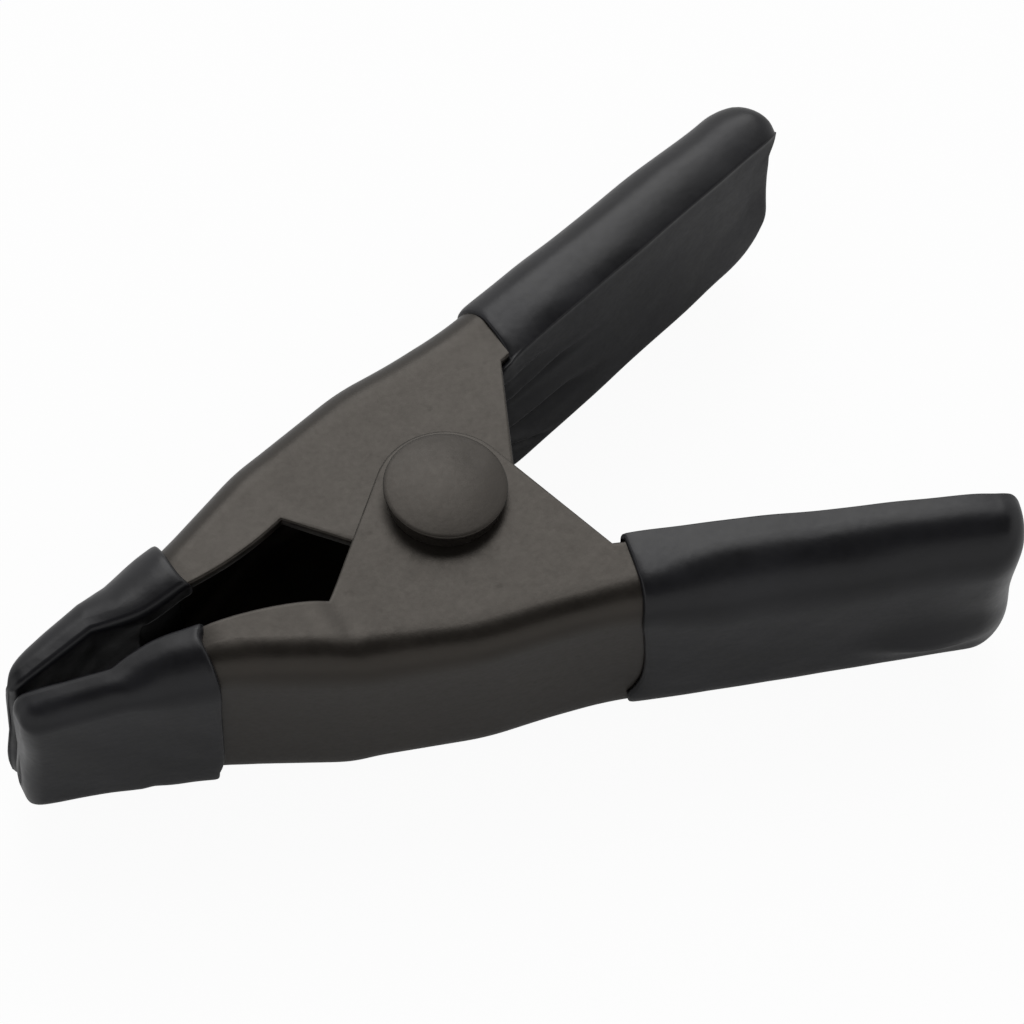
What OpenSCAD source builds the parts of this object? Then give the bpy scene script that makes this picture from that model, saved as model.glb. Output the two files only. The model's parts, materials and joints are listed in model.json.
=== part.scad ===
// Spring clip for tarps: two pressed steel jaws on a pivot pin, held shut by a torsion spring,
// with soft dipped sleeves over the jaw noses and the handles.
// The pivot is at the model's own zero; X runs along the clip with the noses at -X, Z is the pivot's axis.
// "v" is the distance of a jaw's feature from the centreline, the same on both jaws.

/* [Sheet] */
// Thickness of the pressed steel sheet
sheet = 1.3; // [1:0.05:1.5]
// Outside radius of the bends between a jaw's back and its flanges
bend_r = 2; // [1.8:0.1:2.4]
// Outside width of the outer jaw over its ears and handle
outer_w = 23.6; // [22:0.2:28]
// Side play between an outer ear and the inner ear beside it
ear_play = 0.4; // [0.3:0.05:0.6]

/* [Jaw] */
// Pivot to the steel end of the nose
jaw_reach = 48.6; // [46:0.1:54]
// Outside width of the steel at the nose
nose_w = 17.2; // [15:0.2:19]
// Share of the run from the crease to the nose that the flat lip takes
lip_share = 0.37; // [0.3:0.01:0.42]
// Slope of the lip against the centreline
lip_angle = 13.5; // [11:0.5:15]
// How much thinner the lip is coined
lip_coin = 0.1; // [0.05:0.05:0.3]
// Pivot to the crease where the jaw's flanges flare out from the ears
crease_x = 18.3; // [17.4:0.1:20]
// How far each flange flares out at the crease
crease_flare = 0.8; // [0.2:0.1:1.2]
// Length over which the flare runs out into the flat ear
flare_run = 4.5; // [4:0.1:5.5]
// Share of that run from the crease to the nose sleeve's mouth, where the jaw starts to narrow
mouth_share = 0.33; // [0.28:0.01:0.36]
// How far each flange stands out at the sleeve's mouth beyond the ear
mouth_flare = 0.55; // [0.2:0.05:0.7]
// Share of that run from the crease to the highest point of the flange's gripping hump
hump_share = 0.42; // [0.36:0.01:0.48]
// Radius of the gripping hump
hump_r = 38; // [34:0.5:46]
// Open height between the centreline and the sleeve over the hump
hump_gap = 1.5; // [1.2:0.1:2]
// Pivot to the throat corner where the hump meets the ear
throat_x = 16.2; // [15.4:0.1:16.6]

/* [Ear] */
// Pivot to the outside of the back, square to the back
ear_depth = 17.8; // [17:0.1:19]
// Slope of the back over the ear
ear_angle = 17.3; // [16:0.1:18.5]
// Radius of the ear's round end about the pivot
ear_r = 7.4; // [7.2:0.1:8.5]
// Start of the step-in behind the ear, before the pivot
step_from = 4; // [3:0.1:6]
// End of the step-in, behind the pivot
step_to = 8; // [6:0.1:9]
// Half length over which the back's slopes run into each other
slope_blend = 2.4; // [1.5:0.1:3]

/* [Handle] */
// Slope of the handle against the centreline
handle_angle = 16; // [14:0.5:18]
// Pivot to the outside of the handle's back, square to it
handle_depth = 15.6; // [14.8:0.1:16.4]
// Pivot to the steel end of the handle, along the handle
handle_reach = 56.7; // [52:0.1:64]
// Pivot to the heel where the ear runs into the handle's flange, along the handle
heel_reach = 15.9; // [15.4:0.1:16.5]
// Depth of the handle's channel at the heel
heel_flange = 7; // [6.4:0.1:7.6]
// Depth of the handle's channel at its end
end_flange = 5.3; // [4.6:0.1:6]

/* [Sleeves] */
// Wall of the soft sleeve over each nose
tip_wall = 1.15; // [0.9:0.05:1.3]
// How much nearer to the nose the sleeve's mouth lies on the back than on the flanges' edges
tip_lean = 1.8; // [0.4:0.1:2]
// Wall of the soft grip over each handle
grip_wall = 0.6; // [0.5:0.05:1]
// Closed end of the grip, thicker from dripping
grip_end_wall = 1.2; // [1:0.1:1.8]
// Pivot to the mouth of the grip, along the handle
grip_mouth = 17.4; // [16.8:0.1:20]
// How far the skin over a channel's open side is drawn in
skin_dip = 0.8; // [0.3:0.1:1]
// Space between sleeve and steel
sleeve_fit = 0.12; // [0.08:0.02:0.2]
// Space between the two nose sleeves when the jaws are shut
jaw_gap = 0.3; // [0.2:0.05:0.6]
// Rounding of a nose sleeve's closed end
tip_round = 1.4; // [1:0.1:1.8]
// Rounding of a grip's closed end
grip_round = 1.8; // [1.2:0.1:2.2]

/* [Pivot] */
// Diameter of the pivot pin
pin_d = 6.3; // [5.5:0.1:6.8]
// Chamfer of the pin's ends
pin_chamfer = 0.4; // [0.2:0.05:0.5]
// Running clearance of the ears on the pin, on the radius
pin_fit = 0.06; // [0.02:0.01:0.1]
// Diameter of the push-on pin caps
cap_d = 12.7; // [12:0.1:14]
// Height of a cap's straight skirt
cap_skirt = 2.1; // [2:0.1:2.8]
// Rise of a cap's domed top
cap_dome = 0.9; // [0.6:0.1:1.4]
// Thickness of a cap's sheet
cap_sheet = 0.5; // [0.4:0.05:0.6]
// How far a cap's rolled lip reaches in under its push nut
cap_lip = 0.6; // [0.5:0.05:0.7]
// Thickness of the toothed push nut inside a cap
nut_sheet = 0.5; // [0.4:0.05:0.6]
// Number of teeth on a push nut
nut_teeth = 6; // [4:1:8]
// Width of a push nut's flat rim
nut_rim = 0.8; // [0.7:0.05:1]
// Rise of a push nut's teeth towards the pin's end
tooth_rise = 0.6; // [0.4:0.1:0.7]
// Space round a push nut in its cap
nut_fit = 0.06; // [0.04:0.01:0.1]

/* [Spring] */
// Wire diameter
wire_d = 2.5; // [2:0.1:2.6]
// Space between the pin and the coil's inside
coil_fit = 0.9; // [0.7:0.05:1.1]
// Space between the coil's ends and the inner ears
coil_end_fit = 0.5; // [0.4:0.05:0.8]
// Whole turns of the coil, besides the part turn between its legs
coil_turns = 4; // [3:1:4]
// Where each leg bears on its handle's back, along X from the pivot
leg_reach = 14; // [12:0.2:15]
// Space between a leg's end and the handle's back
leg_fit = 0.25; // [0.15:0.05:0.4]

/* [Hidden] */
$fn = 64;

// Facets of a quarter bend, of the hump and of the ear's round end
bend_steps = 5;
hump_steps = 30;
ear_steps = 20;
// Facets of a sleeve's corner, of its drawn-in skin and of its closed end
corner_steps = 4;
skin_steps = 4;
end_steps = 4;
// Rings to a turn of the spring, and sides of its wire
turn_rings = 14;
wire_sides = 8;
// Steps along a nose sleeve and along a grip
tip_steps = 10;
grip_steps = 6;
// Overshoot of a cut past the solid that it cuts
over = 3;
// Most of a straight run that a curve at its end may take up
most_blend = 0.45;
// Most of a sleeve's height that its edge, its back and its drawn-in skin may take up
most_edge = 0.35;
most_back = 0.6;
most_dip = 0.4;

inner_w = outer_w - 2 * (sheet + ear_play);
inside_r = bend_r - sheet;
lip_sheet = sheet - lip_coin;
pin_r = pin_d / 2;
cap_r = cap_d / 2;
jaw_run = jaw_reach - crease_x;
lip_len = lip_share * jaw_run;
lip_x = jaw_reach - lip_len;
hump_x = crease_x + hump_share * jaw_run;
tip_mouth = crease_x + mouth_share * jaw_run;
// The nose sits where its sleeve just clears the centreline
nose_v = lip_sheet / cos(lip_angle) + sleeve_fit + tip_wall + jaw_gap / 2;
lip_v = nose_v + lip_len * tan(lip_angle);
hump_v = tip_wall + sleeve_fit + hump_gap;

// Least draw of the skin, where a channel has run out into the flat lip
least_dip = sleeve_fit / 4;

// Height of the back over the ear and over the handle at a place along X
function ear_line(x) = (ear_depth + x * sin(ear_angle)) / cos(ear_angle);
function handle_line(x) = (handle_depth + x * sin(handle_angle)) / cos(handle_angle);

// A place on the handle, given along it and square to it from the pivot
function on_handle(along, square) = [
    along * cos(handle_angle) - square * sin(handle_angle),
    along * sin(handle_angle) + square * cos(handle_angle)
];

// Outside of a jaw's back, from past the nose to past the handle's end
handle_end_x = on_handle(handle_reach, handle_depth)[0];
back_corners = [
    [-jaw_reach - over, nose_v - over * tan(lip_angle)],
    [-lip_x, lip_v],
    [-crease_x, ear_line(-crease_x)],
    [-step_from, ear_line(-step_from)],
    [step_to, handle_line(step_to)],
    [handle_end_x + over, handle_line(handle_end_x + over)]
];

// A point along the curve that rounds a corner of the back, t from 0 to 1
function toward(a, b) = a + (b - a) * min(slope_blend / norm(b - a), most_blend);
function blend_at(a, b, c, t) =
    (1 - t) ^ 2 * toward(b, a) + 2 * t * (1 - t) * b + t ^ 2 * toward(b, c);
function blended(i) = [
    for (t = [0 : 0.25 : 1])
        blend_at(back_corners[i - 1], back_corners[i], back_corners[i + 1], t)
];
back_line = concat(
    [back_corners[0], [-jaw_reach, nose_v]],
    blended(1),
    [[-tip_mouth, lookup(-tip_mouth, back_corners)]],
    blended(2),
    [[flare_run - crease_x, ear_line(flare_run - crease_x)]],
    blended(3),
    blended(4),
    [back_corners[5]]
);
function back_v(x) = lookup(x, back_line);
function back_slope(x) = atan((back_v(x + 0.1) - back_v(x - 0.1)) / 0.2);

// Half the outside width of a jaw at a place along X
function half_width(x, w) = lookup(x, [
    [-jaw_reach, nose_w / 2],
    [-tip_mouth, w / 2 + mouth_flare],
    [-crease_x, w / 2 + crease_flare],
    [flare_run - crease_x, w / 2]
]);

// Inner edge of the jaw's flanges: the hump, or the coined lip where the hump runs out
function hump_edge(x) = hump_v + hump_r - sqrt(hump_r ^ 2 - (x + hump_x) ^ 2);
function lip_edge(x) = back_v(x) - lip_sheet / cos(back_slope(x));
function jaw_edge(x) = min(lip_edge(x), hump_edge(x));

// Depth of the handle's flange at a distance along it
function flange_depth(along) =
    heel_flange + (end_flange - heel_flange) * (along - heel_reach) / (handle_reach - heel_reach);

// Direction of a corner from the pivot, and the angle from it to a tangent of the ear's round end
function bearing(p) = atan2(p[1], p[0]);
function tangent_turn(p) = acos(ear_r / norm(p));
throat = [-throat_x, jaw_edge(-throat_x)];
heel = on_handle(heel_reach, handle_depth - heel_flange);
ear_from = bearing(throat) + tangent_turn(throat);
ear_to = bearing(heel) - tangent_turn(heel) + 360;

// Side view of a jaw, open past its back
side_profile = concat(
    [
        for (i = [0 : hump_steps])
            let (x = -jaw_reach + (jaw_reach - throat_x) * i / hump_steps) [x, jaw_edge(x)]
    ],
    [
        for (i = [0 : ear_steps])
            let (a = ear_from + (ear_to - ear_from) * i / ear_steps) ear_r * [cos(a), sin(a)]
    ],
    [
        heel,
        on_handle(handle_reach, handle_depth - end_flange),
        on_handle(handle_reach, handle_depth + 3 * over),
        [-jaw_reach, nose_v + 4 * over]
    ]
);

// Points of an arc in the section plane, v first and Z second
function arc(v, z, r, from, to, steps) = [
    for (i = [0 : steps]) let (a = from + (to - from) * i / steps) [v + r * cos(a), z + r * sin(a)]
];

// Section of a pressed channel: outside from its lower to its upper flange, then back along its inside
function channel_section(x, w) =
    let (
        h = half_width(x, w),
        v = back_v(x),
        inside = v - sheet / cos(back_slope(x)),
        edge = -ear_r - over,
        points = concat(
            [[edge, -h]],
            arc(v - bend_r, bend_r - h, bend_r, -90, 0, bend_steps),
            arc(v - bend_r, h - bend_r, bend_r, 0, 90, bend_steps),
            [[edge, h], [edge, h - sheet]],
            arc(inside - inside_r, h - sheet - inside_r, inside_r, 90, 0, bend_steps),
            arc(inside - inside_r, sheet + inside_r - h, inside_r, 0, -90, bend_steps),
            [[edge, sheet - h]]
        )
    )
    [for (p = points) [x, p[0], p[1]]];

// Faces of a skin through rings of n points, from ring "from" to ring "to"
function skin_faces(n, from, to) = [
    for (k = [from : to - 1])
        for (i = [0 : n - 1])
            let (a = k * n + i, b = k * n + (i + 1) % n)
                each [[a, b + n, b], [a, a + n, b + n]]
];
// Faces across ring k, whose points i and n - 1 - i lie opposite each other
function end_faces(n, k) = [
    for (i = [0 : n / 2 - 2])
        let (a = k * n + i, b = k * n + n - 1 - i) [a, a + 1, b - 1, b]
];
function turned(list) = [for (i = [len(list) - 1 : -1 : 0]) list[i]];
function turned_faces(faces) = [for (f = faces) turned(f)];
function flat(rings) = [for (ring = rings) each ring];

// Solid through a row of rings, closed at both ends
module loft(rings) {
    n = len(rings[0]);
    last = len(rings) - 1;
    polyhedron(
        flat(rings),
        concat(end_faces(n, 0), skin_faces(n, 0, last), turned_faces(end_faces(n, last))),
        convexity = 6
    );
}

// Thin pouch: an outer and an inner row of rings, both from the mouth to the closed end
module pouch(outer, inner) {
    n = len(outer[0]);
    outer_last = len(outer) - 1;
    inner_first = len(outer);
    inner_last = inner_first + len(inner) - 1;
    mouth = [
        for (i = [0 : n - 1])
            let (a = i, b = (i + 1) % n, m = inner_first * n)
                each [[a, b, m + b], [a, m + b, m + a]]
    ];
    polyhedron(
        concat(flat(outer), flat(inner)),
        concat(
            skin_faces(n, 0, outer_last),
            turned_faces(end_faces(n, outer_last)),
            turned_faces(skin_faces(n, inner_first, inner_last)),
            end_faces(n, inner_last),
            mouth
        ),
        convexity = 6
    );
}

// Section of a sleeve that is "grow" outside the steel, from v "low" over the flanges' edges to v "high"
// over the back, with the skin between the flanges drawn in by "dip"
function sleeve_section(at, low, high, half, grow, dip) =
    let (
        edge_r = min(grow, most_edge * (high - low)),
        back_r = min(bend_r + grow, most_back * (high - low)),
        skin = [
            for (i = [1 : skin_steps])
                let (k = (2 * i - 1) / (2 * skin_steps + 1))
                    [low + dip * (1 - k ^ 2) ^ 2, (half - edge_r) * k]
        ],
        points = concat(
            [for (p = skin) [p[0], -p[1]]],
            arc(low + edge_r, edge_r - half, edge_r, 180, 270, corner_steps),
            arc(high - back_r, back_r - half, back_r, 270, 360, corner_steps),
            arc(high - back_r, half - back_r, back_r, 0, 90, corner_steps),
            arc(low + edge_r, half - edge_r, edge_r, 90, 180, corner_steps),
            turned(skin)
        )
    )
    [for (p = points) [at, p[0], p[1]]];

// One pressed jaw, its back towards +Y
module jaw(w) {
    difference() {
        intersection() {
            loft([for (p = back_line) channel_section(p[0], w)]);
            linear_extrude(height = outer_w + 2 * over, center = true)
                polygon(side_profile);
        }
        cylinder(h = outer_w + 2 * over, r = pin_r + pin_fit, center = true);
    }
}

// Ring of a nose sleeve, a layer of "grow" outside the steel, drawn in by "shrink" near its end;
// "lean" is how much nearer to the nose the ring lies on the back than on the flanges' edges
function tip_ring(x, w, grow, shrink, lean) =
    let (
        edge_x = max(x, -jaw_reach),
        back_x = max(x - lean, -jaw_reach),
        low = jaw_edge(edge_x) - grow,
        high = back_v(back_x) + grow / cos(back_slope(back_x)),
        half = half_width(edge_x, w),
        dip = max(least_dip, min(skin_dip, most_dip * (back_v(edge_x) - jaw_edge(edge_x) - sheet))),
        pinch = min(shrink, most_dip * (high - low)),
        narrowing = half - half_width(back_x, w),
        ring = sleeve_section(x, low + pinch, high - pinch, half + grow - shrink, grow, dip)
    )
    turned([
        for (p = ring)
            let (share = (p[1] - low) / (high - low))
                [x - lean * share, p[1], p[2] - sign(p[2]) * narrowing * share]
    ]);

// Rings of a nose sleeve, from its mouth to its closed end
tip_run = lip_x + lip_len / 3 - tip_mouth;
function tip_rings(w, grow, end_grow, r) = concat(
    [
        for (i = [0 : tip_steps])
            let (part = i / tip_steps)
                tip_ring(-tip_mouth - tip_run * part, w, grow, 0, tip_lean * (1 - part))
    ],
    [tip_ring(tip_round - jaw_reach, w, grow, 0, 0)],
    [
        for (i = [1 : end_steps])
            let (a = 90 * i / end_steps)
                tip_ring(-jaw_reach - end_grow + r * (1 - sin(a)), w, grow, r * (1 - cos(a)), 0)
    ]
);

module tip_sleeve(w) {
    skin = sleeve_fit + tip_wall;
    pouch(tip_rings(w, skin, skin, tip_round), tip_rings(w, sleeve_fit, sleeve_fit, sleeve_fit));
}

// Ring of a handle grip in the handle's own direction
function grip_ring(along, w, grow, shrink) =
    sleeve_section(
        along, handle_depth - flange_depth(along) - grow + shrink, handle_depth + grow - shrink,
        w / 2 + grow - shrink, grow, skin_dip
    );
grip_run = handle_reach - 2 * grip_round - grip_mouth;
function grip_rings(w, grow, end_grow, r) = concat(
    [for (i = [0 : grip_steps]) grip_ring(grip_mouth + grip_run * i / grip_steps, w, grow, 0)],
    [
        for (i = [0 : end_steps])
            let (a = 90 * i / end_steps)
                grip_ring(handle_reach + end_grow - r * (1 - sin(a)), w, grow, r * (1 - cos(a)))
    ]
);

module handle_grip(w) {
    rotate([0, 0, handle_angle])
        pouch(
            grip_rings(w, sleeve_fit + grip_wall, sleeve_fit + grip_end_wall, grip_round),
            grip_rings(w, sleeve_fit, sleeve_fit, sleeve_fit)
        );
}

// Domed cap over the pin's end, its rim on the plane Z = 0, with a rolled lip that holds the push nut
nut_z = cap_sheet + nut_fit;
dome_r = (cap_r ^ 2 + cap_dome ^ 2) / (2 * cap_dome);
dome_z = cap_skirt + cap_dome - dome_r;
module pin_cap() {
    inside_dome_r = dome_r - cap_sheet;
    difference() {
        intersection() {
            cylinder(h = cap_skirt + cap_dome, r = cap_r);
            translate([0, 0, dome_z])
                sphere(r = dome_r, $fn = 128);
        }
        intersection() {
            translate([0, 0, cap_sheet])
                cylinder(h = cap_skirt + cap_dome, r = cap_r - cap_sheet);
            translate([0, 0, dome_z])
                sphere(r = inside_dome_r, $fn = 128);
        }
        translate([0, 0, -over])
            cylinder(h = over + 2 * cap_sheet, r = cap_r - cap_sheet - cap_lip);
    }
}

// Spring-steel disc inside a cap, its bent-up teeth biting the pin
module push_nut() {
    tooth_tip = pin_r + nut_fit / 2;
    rim_r = cap_r - cap_sheet - nut_fit;
    tooth_root = rim_r - nut_rim;
    difference() {
        rotate_extrude()
            polygon([
                [tooth_tip, tooth_rise],
                [tooth_root, 0],
                [rim_r, 0],
                [rim_r, nut_sheet],
                [tooth_root, nut_sheet],
                [tooth_tip, tooth_rise + nut_sheet]
            ]);
        for (i = [0 : nut_teeth - 1])
            rotate([0, 0, 360 * i / nut_teeth])
                translate([0, -nut_sheet / 2, -over])
                    cube([tooth_root, nut_sheet, 3 * over]);
    }
}

// Torsion spring: a coil round the pin and two straight legs that bear on the handles' backs
coil_r = pin_r + coil_fit + wire_d / 2;
coil_half = inner_w / 2 - sheet - coil_end_fit - wire_d / 2;
leg_end = [
    leg_reach,
    handle_line(leg_reach) - (sheet + leg_fit + wire_d / 2) / cos(handle_angle)
];
leg_turn = bearing(leg_end) + acos(coil_r / norm(leg_end));
leg_length = sqrt(norm(leg_end) ^ 2 - coil_r ^ 2);
coil_sweep = 360 * coil_turns + 360 - 2 * leg_turn;
coil_rings = round(coil_sweep / 360 * turn_rings);

// Stations of the wire's centreline: each is [point, outward direction, direction of travel]
function coil_station(i) =
    let (a = -leg_turn - coil_sweep * i / coil_rings, z = coil_half * (2 * i / coil_rings - 1))
        [[coil_r * cos(a), coil_r * sin(a), z], [cos(a), sin(a), 0], [sin(a), -cos(a), 0]];
function moved(station, d) = [station[0] + d * station[2], station[1], station[2]];
wire_stations = concat(
    [for (d = [1, 0.5]) moved(coil_station(0), -d * leg_length)],
    [for (i = [0 : coil_rings]) coil_station(i)],
    [for (d = [0.5, 1]) moved(coil_station(coil_rings), d * leg_length)]
);
function wire_ring(station) = [
    for (k = [0 : wire_sides - 1])
        let (a = 360 * k / wire_sides)
            station[0] + wire_d / 2 * (cos(a) * station[1] + sin(a) * [0, 0, 1])
];
// Least gap of the wire to itself, between points at least half a turn apart
wire_points = [for (s = wire_stations) s[0]];
wire_gap = min([
    for (i = [0 : len(wire_points) - 1])
        for (j = [i + turn_rings / 2 : len(wire_points) - 1])
            norm(wire_points[i] - wire_points[j]) - wire_d
]);
echo(spring_turns = coil_sweep / 360, spring_gap_to_itself = wire_gap);

// Shift that puts the clip's middle over zero with its lower cap on the ground
nose_end_x = -jaw_reach - sleeve_fit - tip_wall;
grip_end = on_handle(
    handle_reach + sleeve_fit + grip_end_wall - grip_round,
    handle_depth - flange_depth(handle_reach) - sleeve_fit - grip_wall + grip_round
);
middle_x = (nose_end_x + grip_end[0] + grip_round) / 2;
ground_z = outer_w / 2 + cap_skirt + cap_dome;
module placed() {
    translate([-middle_x, 0, ground_z])
        children();
}

module outer_jaw() {
    color([0.13, 0.12, 0.11])
        placed()
            mirror([0, 1, 0])
                jaw(outer_w);
}

module inner_jaw() {
    color([0.13, 0.12, 0.11])
        placed()
            jaw(inner_w);
}

module pivot_pin() {
    length = outer_w + 2 * (cap_skirt - nut_fit);
    color([0.35, 0.35, 0.36])
        placed()
            rotate_extrude()
                polygon([
                    [0, -length / 2],
                    [pin_r - pin_chamfer, -length / 2],
                    [pin_r, pin_chamfer - length / 2],
                    [pin_r, length / 2 - pin_chamfer],
                    [pin_r - pin_chamfer, length / 2],
                    [0, length / 2]
                ]);
}

module top_cap() {
    color([0.12, 0.11, 0.1])
        placed()
            translate([0, 0, outer_w / 2])
                pin_cap();
}

module bottom_cap() {
    color([0.12, 0.11, 0.1])
        placed()
            mirror([0, 0, 1])
                translate([0, 0, outer_w / 2])
                    pin_cap();
}

module top_push_nut() {
    color([0.45, 0.44, 0.42])
        placed()
            translate([0, 0, outer_w / 2 + nut_z])
                push_nut();
}

module bottom_push_nut() {
    color([0.45, 0.44, 0.42])
        placed()
            mirror([0, 0, 1])
                translate([0, 0, outer_w / 2 + nut_z])
                    push_nut();
}

module torsion_spring() {
    color([0.2, 0.2, 0.2])
        placed()
            loft([for (s = wire_stations) wire_ring(s)]);
}

module outer_tip_sleeve() {
    color([0.06, 0.06, 0.07])
        placed()
            mirror([0, 1, 0])
                tip_sleeve(outer_w);
}

module inner_tip_sleeve() {
    color([0.06, 0.06, 0.07])
        placed()
            tip_sleeve(inner_w);
}

module outer_handle_grip() {
    color([0.06, 0.06, 0.07])
        placed()
            mirror([0, 1, 0])
                handle_grip(outer_w);
}

module inner_handle_grip() {
    color([0.06, 0.06, 0.07])
        placed()
            handle_grip(inner_w);
}

outer_jaw();
inner_jaw();
pivot_pin();
top_cap();
bottom_cap();
top_push_nut();
bottom_push_nut();
torsion_spring();
outer_tip_sleeve();
inner_tip_sleeve();
outer_handle_grip();
inner_handle_grip();
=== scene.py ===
import json
import math

import bmesh
import bpy
import numpy as np
from mathutils import Matrix, Vector


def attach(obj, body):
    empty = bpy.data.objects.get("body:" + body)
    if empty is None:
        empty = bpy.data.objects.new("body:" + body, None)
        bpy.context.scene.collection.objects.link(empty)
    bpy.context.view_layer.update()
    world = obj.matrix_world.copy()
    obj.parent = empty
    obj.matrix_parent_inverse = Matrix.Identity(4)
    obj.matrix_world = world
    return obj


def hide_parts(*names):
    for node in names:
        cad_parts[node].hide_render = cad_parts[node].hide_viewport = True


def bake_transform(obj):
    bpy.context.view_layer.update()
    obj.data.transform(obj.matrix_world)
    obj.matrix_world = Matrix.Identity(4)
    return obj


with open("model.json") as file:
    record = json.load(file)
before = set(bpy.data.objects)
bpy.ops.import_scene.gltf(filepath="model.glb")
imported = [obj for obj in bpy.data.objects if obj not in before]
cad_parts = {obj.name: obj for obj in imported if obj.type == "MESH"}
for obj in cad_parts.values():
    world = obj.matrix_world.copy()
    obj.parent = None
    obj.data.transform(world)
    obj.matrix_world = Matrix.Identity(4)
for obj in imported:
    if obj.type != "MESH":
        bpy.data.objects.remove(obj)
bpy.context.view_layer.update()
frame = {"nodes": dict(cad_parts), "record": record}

# ---------------------------------------------------------------- the two jaws
# Each half of the clip is one strip of 1.3 mm sheet steel, blanked and pressed into a channel: a jaw with a
# hump and a lip, two ears round the pin and a straight handle. It is sprayed with a satin black paint. The
# inner half's ears slide inside the outer half's ears.
MM = 0.001
PIVOT = np.array(frame["record"]["behaviour"]["joints"][0]["pos_m"]) / MM
OUTER, INNER = -1, 1
SHEET = 1.3
SHEET_EDGE = 0.32
JAW_REACH = 48.6
NOSE_V, NOSE_HALF = 2.654, 8.8
LIP_SHEET = 1.2
LIP_ANGLE, HANDLE_ANGLE = math.radians(13.5), math.radians(16.0)
HANDLE_DEPTH, CREASE_X = 15.6, -17.9
CREASE_FLARE, CREASE_RUN = {OUTER: 0.6, INNER: 0.2}, 2.6
MOUTH_X, MOUTH_FLARE = -28.3, 0.65
SOFT_KINK, WIDTH_KINK, SLOPE_STEP, PAST_END = 2.4, 1.1, 0.05, 3.0
HUMP_X, HUMP_V, HUMP_R = -31.03, 2.77, 38.0
THROAT = np.array([-16.2, 5.782])
HEEL = np.array([12.914, 12.65])
EAR_R, EAR_MIDDLE = 7.4, np.array([0.05, -0.32])
HANDLE_REACH, HEEL_REACH, HEEL_FLANGE, END_FLANGE = 56.7, 15.9, 7.0, 5.3
STEEL_END = 51.0
PIN_HOLE_R, DRILL_SIDES, DRILL_LENGTH = 3.21, 72, 40.0
HALF_OF = {OUTER: 11.8, INNER: 10.1}
BACK_KINKS = {
    OUTER: ((-37.4, 6.2), (-28.5, 9.1), (CREASE_X, 14.1), (-4.0, 18.1), (3.0, 18.95), (9.0, 19.95)),
    INNER: ((-37.4, 6.1), (-28.5, 9.0), (CREASE_X, 14.25), (-4.0, 18.4), (2.0, 19.0), (9.0, 20.2))}
NOSE_LIFT, DEEPER = {OUTER: 0.65, INNER: -0.8}, {OUTER: 1.2, INNER: 1.35}
BEND_X = (-48.0, -30.0, -18.0, -6.0, 8.0, 12.0, 18.0, 24.0)
BEND_R = {(OUTER, 1): (3.0, 4.2, 4.4, 3.6, 3.4, 3.8, 5.0, 6.5),
          (OUTER, -1): (3.0, 3.4, 3.4, 3.4, 3.4, 3.4, 3.6, 3.6)}
BEND_R[INNER, 1] = BEND_R[INNER, -1] = BEND_R[OUTER, -1]
LEAST_BEND, LEAST_INNER_BEND, LEAST_GAP, LEAST_ROOM = 0.4, 0.3, 0.02, 0.01
EDGE_SHARE, BEND_SHARE, ROOM_SHARE = 0.3, 0.6, 0.9
JAW_CUTS, FRONT_CUTS, EAR_CUTS, REAR_CUTS, HANDLE_CUTS = 70, 26, 30, 30, 46
EDGE_CUTS, FLAT_CUTS, BEND_CUTS, ACROSS_CUTS = 5, 17, 9, 15
CRISP_EDGE, EDGE_HIGHLIGHT_REACH = math.radians(50), 0.45
BODY_OF = {OUTER: "outer_half", INNER: "inner_half"}
SIDE_NAME = {OUTER: "outer", INNER: "inner"}


def on_handle(along, square):
    """The place (x, v) of a point this far along the handle and this far from the handle's base line."""
    return (along * math.cos(HANDLE_ANGLE) - square * math.sin(HANDLE_ANGLE),
            along * math.sin(HANDLE_ANGLE) + square * math.cos(HANDLE_ANGLE))


def soft_line(corners, reach, steps=12):
    """The line through the corners, with each kink pressed into a soft curve."""
    corners = np.array(corners, float)
    line = [corners[0]]
    for before, corner, after in zip(corners, corners[1:], corners[2:]):
        arrive = corner + (before - corner) * reach / np.linalg.norm(before - corner)
        leave = corner + (after - corner) * reach / np.linalg.norm(after - corner)
        for t in np.linspace(0, 1, steps):
            line.append((1 - t) ** 2 * arrive + 2 * t * (1 - t) * corner + t * t * leave)
    line.append(corners[-1])
    return np.array(line)


NOSE_END = -JAW_REACH - PAST_END
HANDLE_END, BACK_LINE = {}, {}
for half_side in (OUTER, INNER):
    nose_top = NOSE_V + NOSE_LIFT[half_side] - PAST_END * math.tan(LIP_ANGLE)
    HANDLE_END[half_side] = on_handle(HANDLE_REACH + PAST_END, HANDLE_DEPTH + DEEPER[half_side])
    BACK_LINE[half_side] = soft_line(
        [(NOSE_END, nose_top), *BACK_KINKS[half_side], HANDLE_END[half_side]], SOFT_KINK)


def back_v(x, side):
    """How far the web's outer face stands from the clip's middle line."""
    return np.interp(x, BACK_LINE[side][:, 0], BACK_LINE[side][:, 1])


def back_stretch(x, side):
    """How much thicker the sloping web is when it is cut square to the clip's length."""
    slope = (back_v(x + SLOPE_STEP, side) - back_v(x - SLOPE_STEP, side)) / (2 * SLOPE_STEP)
    return np.sqrt(1 + slope * slope)


def half_width(x, side):
    """Half the channel's outer width, which flares a little in front of the crease."""
    half = HALF_OF[side]
    line = soft_line([
        (NOSE_END, NOSE_HALF), (-JAW_REACH, NOSE_HALF), (MOUTH_X, half + MOUTH_FLARE),
        (CREASE_X, half + CREASE_FLARE[side]), (CREASE_X + CREASE_RUN, half), (HANDLE_END[side][0], half)],
        WIDTH_KINK)
    return np.interp(x, line[:, 0], line[:, 1])


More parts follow.
